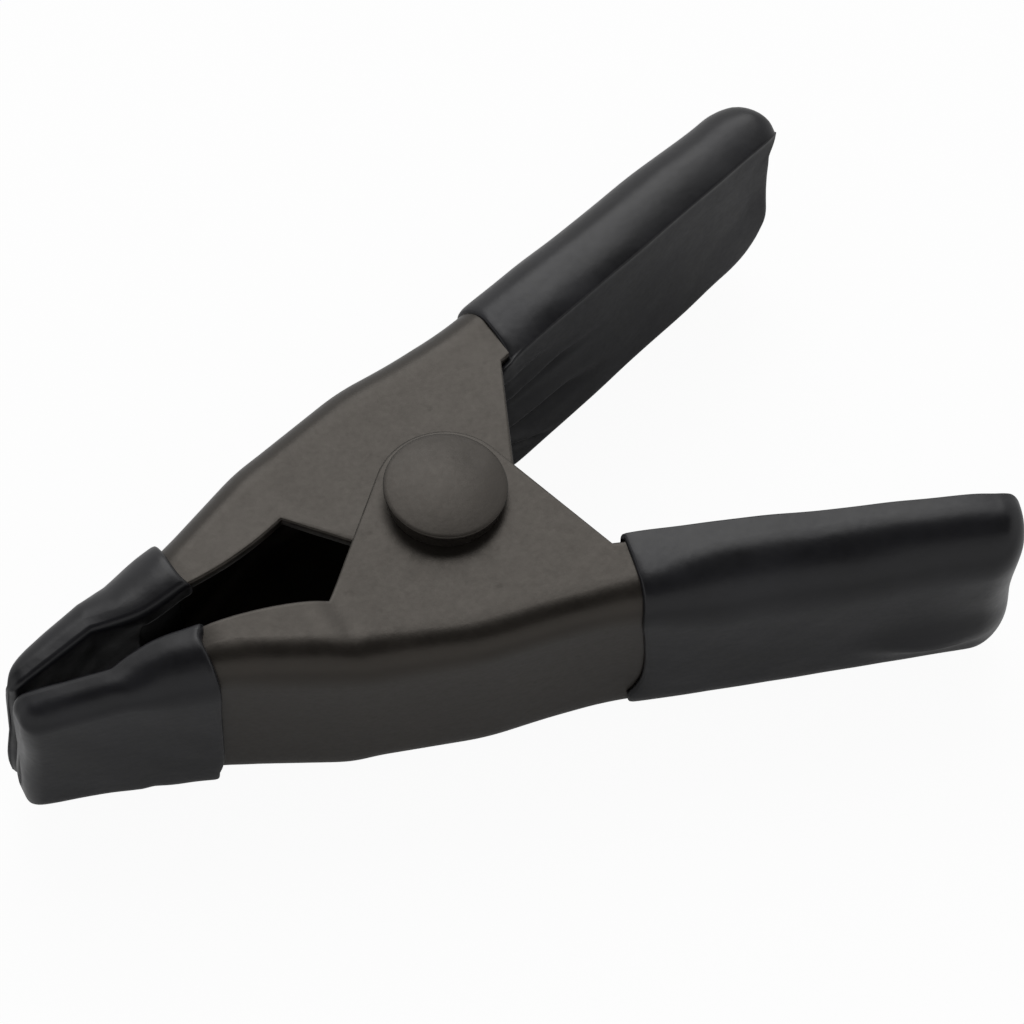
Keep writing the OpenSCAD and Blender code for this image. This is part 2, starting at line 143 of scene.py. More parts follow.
def jaw_edge(x):
    """The lower edge of the jaw's flanges: the gripping hump, then the flat lip."""
    hump = HUMP_V + HUMP_R - np.sqrt(HUMP_R ** 2 - (x - HUMP_X) ** 2)
    lip = NOSE_V + (x + JAW_REACH) * math.tan(LIP_ANGLE) - LIP_SHEET / math.cos(LIP_ANGLE)
    return np.where(x < HUMP_X, np.minimum(hump, lip), hump)


def tangent_angle(corner, turn):
    """Where a straight edge from this corner meets the ear's round end."""
    corner = corner - EAR_MIDDLE
    return math.atan2(corner[1], corner[0]) + turn * math.acos(EAR_R / np.linalg.norm(corner))


def handle_flange(along):
    """How deep the handle's flange is at this length along the handle."""
    return HEEL_FLANGE + (END_FLANGE - HEEL_FLANGE) * (along - HEEL_REACH) / (HANDLE_REACH - HEEL_REACH)


def flange_outline():
    """The lower edge (x, v) of a half's flanges, from the nose over the ear to the end of the handle."""
    front = tangent_angle(THROAT, 1)
    rear = tangent_angle(HEEL, -1)
    jaw_x = np.linspace(-JAW_REACH, THROAT[0], JAW_CUTS)
    parts = [np.stack([jaw_x, jaw_edge(jaw_x)], 1)]
    touch = EAR_MIDDLE + EAR_R * np.array([math.cos(front), math.sin(front)])
    parts.append(np.linspace(THROAT, touch, FRONT_CUTS)[1:])
    arc = np.linspace(front - 2 * math.pi, rear, EAR_CUTS)[1:]
    parts.append(EAR_MIDDLE + EAR_R * np.stack([np.cos(arc), np.sin(arc)], 1))
    parts.append(np.linspace(parts[-1][-1], HEEL, REAR_CUTS)[1:])
    along = np.linspace(HEEL_REACH, STEEL_END, HANDLE_CUTS)[1:]
    parts.append(np.stack(on_handle(along, HANDLE_DEPTH - handle_flange(along)), 1))
    return np.concatenate(parts)


def flank(low, top_v, half, edge, bend):
    """One side of a channel (v, z): the broken edge, the flange and the bend up to the web."""
    line = []
    for a in np.linspace(0, math.pi / 2, EDGE_CUTS)[:-1]:
        line.append((low + abs(edge) * (1 - math.cos(a)), half - edge * (1 - math.sin(a))))
    start, stop = low + abs(edge), max(top_v - bend, low + abs(edge))
    for u in np.linspace(0, 1, FLAT_CUTS)[:-1]:
        line.append((start + (stop - start) * u, half))
    for a in np.linspace(0, math.pi / 2, BEND_CUTS):
        line.append((stop + (top_v - stop) * math.sin(a), half - bend * (1 - math.cos(a))))
    return line


def pressed_section(x, low, side):
    """The closed outline (v, z) of the sheet, cut square to the clip's length at x."""
    back, half = back_v(x, side), half_width(x, side)
    inner_v = max(back - SHEET * back_stretch(x, side), low + LEAST_GAP)
    edge = min(SHEET_EDGE, EDGE_SHARE * (back - low))
    most = max(LEAST_BEND, BEND_SHARE * (back - low))
    bends = {up: min(np.interp(x, BEND_X, BEND_R[side, up]), most) for up in (1, -1)}
    room = max(inner_v - low - edge, LEAST_ROOM) * ROOM_SHARE + LEAST_ROOM / 2
    outer, inner = {}, {}
    for up, bend in bends.items():
        outer[up] = flank(low, back, half, edge, bend)
        inner_bend = min(max(bend - SHEET, LEAST_INNER_BEND), room)
        inner[up] = flank(low, inner_v, half - SHEET, -edge, inner_bend)
    share = np.linspace(0, 1, ACROSS_CUTS)[1:-1]
    top, bottom = outer[1][-1][1], outer[-1][-1][1]
    whole = [(v, -z) for v, z in outer[-1]]
    whole += [(back, (top + bottom) * t - bottom) for t in share] + outer[1][::-1]
    top, bottom = inner[1][-1][1], inner[-1][-1][1]
    whole += inner[1] + [(inner_v, top - (top + bottom) * t) for t in share]
    whole += [(v, -z) for v, z in inner[-1]][::-1]
    return np.array(whole)


def in_row(points, side):
    """Points (x, v, z) of one half, from the pivot in millimetres, as row coordinates in metres."""
    points = np.array(points, float)
    points[:, 1] *= side
    return (points + PIVOT) * MM


def new_piece(name, points, faces, finish):
    """A mesh object with its faces turned outwards and shaded smooth up to a crisp edge."""
    mesh = bpy.data.meshes.new(name)
    mesh.from_pydata([tuple(p) for p in points], [], [tuple(f) for f in faces])
    shape = bmesh.new()
    shape.from_mesh(mesh)
    bmesh.ops.recalc_face_normals(shape, faces=shape.faces)
    shape.to_mesh(mesh)
    shape.free()
    mesh.materials.append(finish)
    mesh.shade_smooth()
    mesh.set_sharp_from_angle(angle=CRISP_EDGE)
    piece = bpy.data.objects.new(name, mesh)
    bpy.context.collection.objects.link(piece)
    return piece


def band_faces(rings, round_points):
    """Quads between one ring of points and the next."""
    faces = []
    for r in range(rings - 1):
        for i in range(round_points):
            j = (i + 1) % round_points
            faces.append((r * round_points + i, r * round_points + j,
                          (r + 1) * round_points + j, (r + 1) * round_points + i))
    return faces


class Tone:
    """One socket of a finish. Sums of tones add Math nodes to the finish."""

    def __init__(self, finish, socket):
        self.finish, self.socket = finish, socket

    def sum(self, operation, first, second):
        return self.finish.node("ShaderNodeMath", {"operation": operation}, {0: first, 1: second})

    def __add__(self, other):
        return self.sum("ADD", self, other)

    def __radd__(self, other):
        return self.sum("ADD", other, self)

    def __sub__(self, other):
        return self.sum("SUBTRACT", self, other)

    def __rsub__(self, other):
        return self.sum("SUBTRACT", other, self)

    def __mul__(self, other):
        return self.sum("MULTIPLY", self, other)

    def __rmul__(self, other):
        return self.sum("MULTIPLY", other, self)


class Finish:
    """A surface finish made of nodes round one Principled shader."""

    def __init__(self, name, owner=None):
        self.owner = owner or bpy.data.materials.new(name)
        self.owner.use_nodes = True
        self.tree = self.owner.node_tree

    def node(self, kind, settings, sockets, output=0):
        """A new node of this kind; its settings come first, then its sockets' values or links."""
        made = self.tree.nodes.new(kind)
        for name, value in settings.items():
            setattr(made, name, value)
        for name, value in sockets.items():
            self.feed(made.inputs[name], value)
        return Tone(self, made.outputs[output])

    def feed(self, socket, value):
        if isinstance(value, Tone):
            self.tree.links.new(value.socket, socket)
        else:
            socket.default_value = value

    def place(self):
        return self.node("ShaderNodeTexCoord", {}, {}, "Object")

    def cloud(self, size_mm, detail=2.0, stretch=None):
        """Soft patches about this many millimetres across."""
        place = self.place()
        if stretch:
            place = self.node("ShaderNodeVectorMath", {"operation": "MULTIPLY"}, {0: place, 1: stretch})
        return self.node("ShaderNodeTexNoise", {}, {
            "Vector": place, "Scale": 1 / (size_mm * MM), "Detail": detail, "Roughness": 0.5})

    def between(self, amount, first, second):
        """A colour between two others."""
        return self.node("ShaderNodeMix", {"data_type": "RGBA"}, {0: amount, 6: first, 7: second}, 2)

    def steps(self, amount, low, high):
        """0 below low, 1 above high and a straight rise between."""
        return self.node("ShaderNodeMapRange", {}, {
            "Value": amount, "From Min": low, "From Max": high, "To Min": 0.0, "To Max": 1.0})

    def relief(self, height, depth_mm, strength, under=None):
        """A fine relief this deep, on top of another one if that is given."""
        sockets = {"Height": height, "Distance": depth_mm * MM, "Strength": strength}
        if under:
            sockets["Normal"] = under
        return self.node("ShaderNodeBump", {}, sockets)

    def surface(self, **sockets):
        shader = self.tree.nodes["Principled BSDF"]
        for name, value in sockets.items():
            self.feed(shader.inputs[name.replace("_", " ")], value)
        return self.owner


PAINT_DARK = (0.0110, 0.0094, 0.0080, 1)
PAINT_PALE = (0.0160, 0.0138, 0.0118, 1)
# A paler paint colour laid along the sheet edges as a painted highlight, broken up in patches.
PAINT_EDGE_HIGHLIGHT = (0.060, 0.054, 0.047, 1)
PAINT_SHINE, PAINT_GLOSS_TINT, JAW_DULLNESS = 0.38, (1.0, 0.92, 0.83, 1), 0.36
PATCH_MM, PEEL_MM, MOTTLE_MM, DUST_MM, EDGE_HIGHLIGHT_MM = 9, 0.55, 1.5, 1.3, 2.2
PATCH_DULL, PEEL_DULL, MOTTLE_DULL, DUST_DULL = 0.10, 0.12, 0.10, 0.05
PEEL_DEEP, PEEL_FORCE, MOTTLE_DEEP, MOTTLE_FORCE = 0.018, 0.6, 0.03, 0.5
DUST_FROM_TO, EDGE_HIGHLIGHT_FROM_TO, PATCH_FROM_TO, EDGE_HIGHLIGHT_SHARE = (0.70, 0.78), (0.42, 0.66), (0.3, 0.7), 0.55


def satin_paint(name, dullness):
    """Sprayed black paint: fine orange peel, soft patches of thinner paint and a painted highlight along the
    sheet edges.
    """
    paint = Finish(name)
    patches = paint.cloud(PATCH_MM, 3.0)
    peel, mottle = paint.cloud(PEEL_MM, 2.0), paint.cloud(MOTTLE_MM, 3.0)
    dust = paint.steps(paint.cloud(DUST_MM, 1.0), *DUST_FROM_TO)
    # Painted highlight: the sheet edges are made paler in patches, standing in for the light the edges catch.
    edge_highlight = paint.node("ShaderNodeAttribute", {"attribute_name": "sheet_edge"}, {}, "Fac")
    edge_highlight = edge_highlight * paint.steps(paint.cloud(EDGE_HIGHLIGHT_MM, 3.0), *EDGE_HIGHLIGHT_FROM_TO)
    colour = paint.between(paint.steps(patches, *PATCH_FROM_TO), PAINT_DARK, PAINT_PALE)
    colour = paint.between(edge_highlight * EDGE_HIGHLIGHT_SHARE, colour, PAINT_EDGE_HIGHLIGHT)
    rough = dullness + (patches - 0.5) * PATCH_DULL + (peel - 0.5) * PEEL_DULL
    rough = rough + (mottle - 0.5) * MOTTLE_DULL + dust * DUST_DULL
    normal = paint.relief(peel, PEEL_DEEP, PEEL_FORCE, paint.relief(mottle, MOTTLE_DEEP, MOTTLE_FORCE))
    return paint.surface(Base_Color=colour, Roughness=rough, Normal=normal, Specular_IOR_Level=PAINT_SHINE,
                         Specular_Tint=PAINT_GLOSS_TINT)


BLACK_PAINT = satin_paint("black_paint", JAW_DULLNESS)


def pressed_half(side):
    """One half of the clip, lofted along its flanges' edge and drilled for the pin."""
    outline = flange_outline()
    rings = []
    for x, low in outline:
        section = pressed_section(x, low, side)
        rings.append(np.column_stack([np.full(len(section), x), section]))
    count = len(rings[0])
    points = np.concatenate(rings)
    faces = band_faces(len(rings), count)
    last = (len(rings) - 1) * count
    for start in (0, last):
        for i in range(count // 2 - 1):
            faces.append((start + i, start + i + 1, start + count - 2 - i, start + count - 1 - i))
    piece = new_piece(SIDE_NAME[side] + "_jaw_steel", in_row(points, side), faces, BLACK_PAINT)
    bpy.ops.mesh.primitive_cylinder_add(
        vertices=DRILL_SIDES, radius=PIN_HOLE_R * MM, depth=DRILL_LENGTH * MM, location=PIVOT * MM)
    drill = bpy.context.object
    hole = piece.modifiers.new("pin_hole", "BOOLEAN")
    hole.object, hole.operation, hole.solver = drill, "DIFFERENCE", "EXACT"
    drilled = bpy.data.meshes.new_from_object(piece.evaluated_get(bpy.context.evaluated_depsgraph_get()))
    piece.modifiers.clear()
    piece.data = drilled
    bpy.data.objects.remove(drill)
    drilled.shade_smooth()
    drilled.set_sharp_from_angle(angle=CRISP_EDGE)
    # Marks the sheet edges, where the painted edge highlight goes.
    near_edge = drilled.attributes.new("sheet_edge", "FLOAT", "POINT")
    place = np.empty(len(drilled.vertices) * 3)
    drilled.vertices.foreach_get("co", place)
    place = place.reshape(-1, 3) / MM - PIVOT
    height = place[:, 1] * side - np.interp(place[:, 0], outline[:, 0], outline[:, 1])
    near_edge.data.foreach_set("value", np.clip(1 - height / EDGE_HIGHLIGHT_REACH, 0, 1))
    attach(piece, BODY_OF[side])
    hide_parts(SIDE_NAME[side] + "_jaw")


for half_side in (OUTER, INNER):
    pressed_half(half_side)

# ---------------------------------------------------------------- the spring
# A torsion spring of 2.5 mm hard-drawn wire, wound round the pin between the ears. Its two straight legs lie
# inside the handles and push them apart, which closes the jaws. The wire keeps its dark oiled skin.
WIRE_R, WIRE_SIDES = 1.25, 18
COIL_R, COIL_HALF, COIL_CUTS, LEG_CUTS, LEG_CLEAR = 5.3, 7.05, 220, 15, 0.1
LEG_TURN, COIL_SWEEP, LEG_LENGTH = math.radians(127.305), math.radians(1545.39), 21.639
CUT_END, CUT_BREAK, CUT_MIDDLE = 0.2, 0.82, 0.02
WIRE_DARK, WIRE_PALE = (0.052, 0.049, 0.047, 1), (0.12, 0.112, 0.10, 1)


def wire_route():
    """The middle of the wire: the outer half's leg, the turns of the coil and the inner half's leg."""
    share = np.linspace(0, 1, COIL_CUTS + 1)
    angle = -LEG_TURN - COIL_SWEEP * share
    coil = np.stack([COIL_R * np.cos(angle), COIL_R * np.sin(angle), COIL_HALF * (2 * share - 1)], 1)
    first = np.array([math.sin(angle[0]), -math.cos(angle[0]), 0.0])
    last = np.array([math.sin(angle[-1]), -math.cos(angle[-1]), 0.0])
    reach = np.linspace(1, 0, LEG_CUTS)[:-1, None] * LEG_LENGTH
    return np.concatenate([coil[0] - first * reach, coil, (coil[-1] + last * reach)[::-1]])


def closed_turning(name, rings, finish):
    """A round piece from its rings, with a flat face on the first and on the last one."""
    round_points, points = len(rings[0]), np.concatenate(rings)
    faces = band_faces(len(rings), round_points)
    faces.append(tuple(range(round_points)))
    faces.append(tuple(range(len(points) - round_points, len(points))))
    return new_piece(name, in_row(points, 1), faces, finish)


def drawn_wire(name, route, finish):
    """A round wire along the route, its two cut ends slightly broken."""
    way = np.gradient(route, axis=0)
    way /= np.linalg.norm(way, axis=1)[:, None]
    across = np.cross(way, (0.0, 0.0, 1.0))
    across /= np.linalg.norm(across, axis=1)[:, None]
    upright = np.cross(across, way)
    turn = np.linspace(0, 2 * math.pi, WIRE_SIDES, endpoint=False)
    rings = [c + WIRE_R * (np.outer(np.cos(turn), a) + np.outer(np.sin(turn), u))
             for c, a, u in zip(route, across, upright)]
    for end, step in ((0, -1), (-1, 1)):
        broken = route[end] + CUT_BREAK * (rings[end] - route[end]) + way[end] * step * CUT_END
        flat = route[end] + CUT_MIDDLE * (rings[end] - route[end]) + way[end] * step * CUT_END
        rings = [flat, broken] + rings if end == 0 else rings + [broken, flat]
    return closed_turning(name, rings, finish)


oiled = Finish("spring_wire")
film = oiled.cloud(3.0, 3.0)
drawing = oiled.cloud(0.25, 2.0, (1.0, 1.0, 3.0))
SPRING_WIRE = oiled.surface(
    Base_Color=oiled.between(oiled.steps(film, 0.35, 0.65), WIRE_DARK, WIRE_PALE),
    Roughness=0.28 + film * 0.22, Metallic=1.0, Normal=oiled.relief(drawing, 0.01, 0.5))
spring = drawn_wire("spring_coil", wire_route(), SPRING_WIRE)
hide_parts("torsion_spring")
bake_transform(spring)

# ---------------------------------------------------------------- the pin and its push nuts
# A 6.3 mm turned steel pin runs through the four ears. A toothed disc of blued spring steel is pushed over
# each end and bites the pin; both are hidden under the caps.
PIN_DARK, PIN_PALE = (0.34, 0.33, 0.31, 1), (0.50, 0.49, 0.47, 1)
NUT_BLUE, NUT_STRAW = (0.10, 0.105, 0.13, 1), (0.26, 0.22, 0.18, 1)
turned = Finish("pin_steel")
rings_cut = turned.cloud(0.3, 2.0, (1.0, 1.0, 6.0))
stain = turned.cloud(4, 3.0)
PIN_STEEL = turned.surface(
    Base_Color=turned.between(stain, PIN_DARK, PIN_PALE),
    Roughness=0.24 + stain * 0.2, Metallic=1.0, Normal=turned.relief(rings_cut, 0.01, 0.5))
blued = Finish("nut_steel")
scale_marks = blued.cloud(2.5, 3.0)
NUT_STEEL = blued.surface(
    Base_Color=blued.between(scale_marks, NUT_BLUE, NUT_STRAW),
    Roughness=0.3 + scale_marks * 0.2, Metallic=1.0,
    Normal=blued.relief(blued.cloud(0.4, 2.0), 0.01, 0.5))


def dress(node, finish):
    """Gives a solid that is already right its real finish."""
    solid = frame["nodes"][node]
    if not solid.material_slots:
        solid.data.materials.append(finish)
    for place in solid.material_slots:
        place.material = finish


dress("pivot_pin", PIN_STEEL)
for nut in ("top_push_nut", "bottom_push_nut"):
    dress(nut, NUT_STEEL)

# ---------------------------------------------------------------- the two caps
# A drawn steel cap is pressed over each push nut and hides the pin's end. It has a low dome, a small rolled
# shoulder and a straight skirt that stands on the ear, all under the same black paint.
CAP_R, CAP_SKIRT, CAP_DOME, CAP_SHEET = 6.5, 2.1, 0.9, 0.5
CAP_FLATTER, CAP_LEAN = 0.2, np.array([0.092, 0.046])
CAP_RIM, CAP_TUCK = 0.22, 0.35
CAP_DIMPLE, CAP_DIMPLE_R, CAP_DIMPLE_DEEP = np.array([4.1, 1.9]), 1.4, 0.07
CAP_SIDES, SKIRT_CUTS, RIM_CUTS, DOME_CUTS, HOLLOW_CUTS = 96, 6, 9, 22, 8
FOOT_IN, FOOT_GAP, FOOT_ROUND, CAP_MIDDLE_R = 0.15, 0.02, 0.10, 0.01
RIM_FROM, RIM_TO = -math.pi / 3, math.pi * 0.42
EAR_FACE = 11.8
CAP_DULLNESS = 0.40
CAP_PAINT = satin_paint("cap_paint", CAP_DULLNESS)


def cap_profile(flatter):
    """The cap's wall (radius, height above the ear), up the outside and down the inside."""
    foot = CAP_R - CAP_TUCK
    outside = [(foot - FOOT_IN, FOOT_GAP), (foot, FOOT_ROUND)]
    skirt = CAP_SKIRT - 2 * CAP_RIM - FOOT_ROUND
    for t in np.linspace(0, 1, SKIRT_CUTS)[1:]:
        outside.append((foot + CAP_TUCK / 2 * t * t, FOOT_ROUND + skirt * t))
    rim_r = CAP_R - CAP_RIM
    for a in np.linspace(RIM_FROM, RIM_TO, RIM_CUTS):
        outside.append((rim_r + CAP_RIM * math.cos(a), CAP_SKIRT - CAP_RIM + CAP_RIM * math.sin(a)))
    edge_r, edge_h = outside[-1]
    crown = CAP_SKIRT + CAP_DOME - flatter
    for t in np.linspace(0, 1, DOME_CUTS)[1:]:
        r = edge_r * (1 - t)
        outside.append((r, edge_h + (crown - edge_h) * (1 - (r / edge_r) ** 2)))
    wall = CAP_R - CAP_TUCK - CAP_SHEET
    inside = [(wall, FOOT_GAP), (wall, CAP_SKIRT - CAP_SHEET)]
    for t in np.linspace(0, 1, HOLLOW_CUTS)[1:]:
        r = wall * (1 - t)
        inside.append((r, CAP_SKIRT - CAP_SHEET + CAP_DOME * (1 - (r / wall) ** 2)))
    return outside, inside


def drawn_cap(name, node, up, flatter, lean):
    """One cap on its ear, with a shallow dimple; the upper one leans a little."""
    outside, inside = cap_profile(flatter)
    turn = np.linspace(0, 2 * math.pi, CAP_SIDES, endpoint=False)
    rings = []
    for r, height in inside[::-1] + outside:
        r, level = max(r, CAP_MIDDLE_R), np.full(CAP_SIDES, EAR_FACE + height)
        rings.append(np.column_stack([r * np.cos(turn), r * np.sin(turn), level]))
    for ring in rings[len(inside):]:
        away = np.linalg.norm(ring[:, :2] - CAP_DIMPLE, axis=1) / CAP_DIMPLE_R
        ring[:, 2] -= CAP_DIMPLE_DEEP * np.exp(-away ** 2) * (ring[:, 2] > EAR_FACE + CAP_SKIRT)
    for ring in rings:
        ring[:, 2] -= ring[:, :2] @ lean * np.clip((ring[:, 2] - EAR_FACE) / CAP_SKIRT, 0, 1)
        ring[:, 2] *= up
    cap = closed_turning(name, rings, CAP_PAINT)
    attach(cap, "outer_half")
    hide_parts(node)


drawn_cap("cap_top_drawn", "top_cap", 1, CAP_FLATTER, CAP_LEAN)
drawn_cap("cap_bottom_drawn", "bottom_cap", -1, 0.0, 0 * CAP_LEAN)

# ---------------------------------------------------------------- the nose sleeves
# Each nose is dipped in black vinyl, which sets as a soft skin about 1 mm thick. It coats the channel inside
# and out near its mouth, and further in it hangs as one skin across the open side.
TIP_WALL, TIP_FIT = 1.27, 0.08
TIP_INNER_WALL = 0.5
TIP_END = {OUTER: 49.7, INNER: 49.4}
TIP_ROUND = {OUTER: (6.5, 3.4), INNER: (4.5, 4.0)}
TIP_DROP = {OUTER: (6.0, 3.4), INNER: (4.5, 4.0)}
TIP_LOW_PAD = {OUTER: 0.2, INNER: 0.0}
TIP_END_ROUND = {OUTER: (1.6, 1.6), INNER: (4.0, 2.8)}
TIP_MOUTH = {OUTER: -28.8, INNER: -27.7}
TIP_LEAN = {OUTER: 1.2, INNER: 1.2}
TIP_TWIST = {OUTER: 0.35, INNER: 0.2}
TIP_HEEL, TIP_HEEL_THIN = {OUTER: 0.5, INNER: 0.0}, {OUTER: 0.5, INNER: 0.0}
TIP_TILT, TIP_EDGE_R = {OUTER: 0.4, INNER: 0.5}, {OUTER: 0.9, INNER: 0.7}
TIP_SAG, TIP_EDGE_THIN, TIP_MOUTH_THIN = 2.0, 0.75, {OUTER: 0.0, INNER: 0.4}
NOSE_SLANT = {OUTER: 1.3, INNER: 1.6}
BRIDGE_FROM, BRIDGE_TO = -33.3, -34.2
TIP_MOUTH_LONG, TIP_FADE, SLANT_REACH = 7, 1.5, 14
TIP_EDGE_END, TIP_UPPER_END, TIP_LOWER_END, TIP_END_LONG = 1.5, 2.0, 1.1, 2.4
TIP_EDGE_SHARE, TIP_BACK_SHARE, TIP_LEAST_FLANGE = 0.3, 0.55, 0.9
TIP_TILT_FROM, TIP_TILT_OVER, TIP_TILT_REACH = 3, 4, 2.6
TIP_SAG_FROM, TIP_SAG_OVER = 4, 3
LEAN_RISE, HEEL_ACROSS, HEEL_RISE = 4, 0.6, 0.4
TIP_RIM, TIP_RIM_THIN, TIP_STEEL_GAP = 0.55, 0.08, 0.02
TIP_INSIDE_FROM, TIP_OUTSIDE_FROM, LAST_GAP = 0.3, 0.8, 0.001
TIP_SEED, TIP_LUMPS, TIP_RIM_LUMPS = 11, ((0.07, 9, 0), (0.04, 4, 5)), ((0.10, 6, 9),)
WAVE_LONG, WAVE_DEEP, WAVE_SIZE, WAVE_TOP = 3.5, 0.14, 12.0, 1
NOSE_SLANT_LONG, NOSE_SLANT_WIDE = 8, 16
TIP_LINING_CUTS, TIP_CUTS, MOUTH_CUTS = 26, (12, 8, 40, 12), 6
CORNER_STEPS, FLANGE_STEPS, BACK_STEPS, WEB_STEPS, OPEN_STEPS = 7, 18, 14, 16, 72
EDGE_BUNCH, EDGE_RISE, BACK_RISE = 1.25, 0.12, 0.6
LINED_RIM, LINED_WALL, DULL_RISE = 0.2, 0.55, 8
LUMP_WAVES, LUMP_SPREAD, LUMP_TOTAL = 7, (0.6, 1.3), 4.5


def skin_rule():
    """How each point round a dipped skin depends on the skin's low and high side, its half width and its two
    corner radii. The rows go round from the edge at the back over the web to the open side."""
    half_round = []
    for a in np.linspace(0, math.pi / 2, CORNER_STEPS):
        half_round.append((1, 0, 1 - math.cos(a), 0, -1, 1 - math.sin(a), 0))
    for u in np.linspace(0, 1, FLANGE_STEPS)[1:-1] ** EDGE_BUNCH:
        half_round.append((1 - u, u, 1 - u, -u, -1, 0, 0))
    for a in np.linspace(0, math.pi / 2, BACK_STEPS):
        half_round.append((0, 1, 0, math.sin(a) - 1, -1, 0, 1 - math.cos(a)))
    web = [(0, 1, 0, 0, t, 0, -t) for t in np.linspace(-1, 1, WEB_STEPS)[1:-1]]
    other = [row[:4] + tuple(-c for c in row[4:]) for row in half_round[::-1]]
    bridge = [(1, 0, 0, 0, k, -k, 0) for k in np.linspace(1, -1, OPEN_STEPS)[1:-1]]
    return np.array(half_round + web + other + bridge, float)


SKIN_RULE = skin_rule()
RISE = SKIN_RULE[:, 1] + EDGE_RISE * SKIN_RULE[:, 2] + BACK_RISE * SKIN_RULE[:, 3]
ACROSS = SKIN_RULE[:, 4]
OPEN_K = np.linspace(1, -1, OPEN_STEPS)[1:-1]
OPEN_FROM = len(SKIN_RULE) - len(OPEN_K)
OPEN = slice(OPEN_FROM, None)


def ease(t):
    """A soft rise from 0 to 1."""
    t = np.clip(t, 0, 1)
    return t * t * (3 - 2 * t)


def lumps(points, size, seed):
    """A soft deterministic unevenness between about -1 and 1, with bumps of this size in millimetres."""
    dice = np.random.default_rng(seed)
    total = np.zeros(len(points))
    for _ in range(LUMP_WAVES):
        way = dice.normal(size=3)
        way *= 2 * math.pi / size / np.linalg.norm(way) * dice.uniform(*LUMP_SPREAD)
        total += np.sin(points @ way + dice.uniform(0, 2 * math.pi))
    return total / LUMP_TOTAL


def uneven(points, sizes, seed):
    """Lumps of several sizes together, each with its height, its size and a step of the seed."""
    return sum(height * lumps(points, size, seed + step) for height, size, step in sizes)


def bump_at(points, centre, reach):
    """1 at the centre and falling off within this reach along each axis."""
    away = (points - np.array(centre)) / np.array(reach)
    return np.exp(-np.sum(away * away, axis=1))


def skin_ring(low, high, half, edge_r, back_r, drop_r, tilt, reach):
    """Points (v, z) round a dipped skin; the values may change from point to point. Within this reach of their
    edges the flanges tilt down by this much."""
    r = SKIN_RULE
    v = r[:, 0] * low + r[:, 1] * high + r[:, 2] * edge_r + r[:, 3] * back_r
    half = half - tilt * np.clip(1 - (v - low) / reach, 0, 1) ** 2
    return np.stack([v, r[:, 4] * half + r[:, 5] * edge_r + r[:, 6] * drop_r], 1)


def lined_path(low, half, edge_r, inner_half, inner_v):
    """The open side's points (v, z) where the skin still lines the channel's inside."""
    depth, rim, wall = 1 - np.abs(OPEN_K), LINED_RIM, LINED_WALL
    v = low + (inner_v - low) * np.clip((depth - rim) / (wall - rim), 0, 1)
    z = np.where(depth < rim, half - edge_r + (inner_half - half + edge_r) * depth / rim,
                 np.where(depth < wall, inner_half, inner_half * (1 - depth) / (1 - wall)))
    return np.stack([v, np.sign(OPEN_K) * z], 1)


def outward(ring):
    """The directions (v, z) that point out of a closed ring."""
    along = np.roll(ring, -1, 0) - np.roll(ring, 1, 0)
    along /= np.maximum(np.linalg.norm(along, axis=1), 1e-6)[:, None]
    return np.stack([-along[:, 1], along[:, 0]], 1)


def dipped_piece(name, rings, finish, dullness):
    """A closed skin from its rings, which run from the blind end inside to the mouth and back outside."""
    count = len(rings[0])
    points = np.concatenate(rings + [rings[0].mean(0)[None], rings[-1].mean(0)[None]])
    faces = band_faces(len(rings), count)
    last = (len(rings) - 1) * count
    for i in range(count):
        j = (i + 1) % count
        faces.append((i, j, len(points) - 2))
        faces.append((last + i, last + j, len(points) - 1))
    piece = new_piece(name, points, faces, finish)
    piece.data.set_sharp_from_angle(angle=math.pi)
    dull = np.zeros(len(points))
    across = np.clip((1 - OPEN_K ** 2) * DULL_RISE, 0, 1)
    dull[:last + count].reshape(-1, count)[:, OPEN] = dullness * across
    piece.data.attributes.new("open_side", "FLOAT", "POINT").data.foreach_set("value", dull)
    return piece


def round_off(distance, length, depth):
    """How far a rounded end has drawn in at this distance from the end."""
    left = np.clip(1 - distance / length, 0, 1)
    return depth * (1 - np.sqrt(1 - left * left))


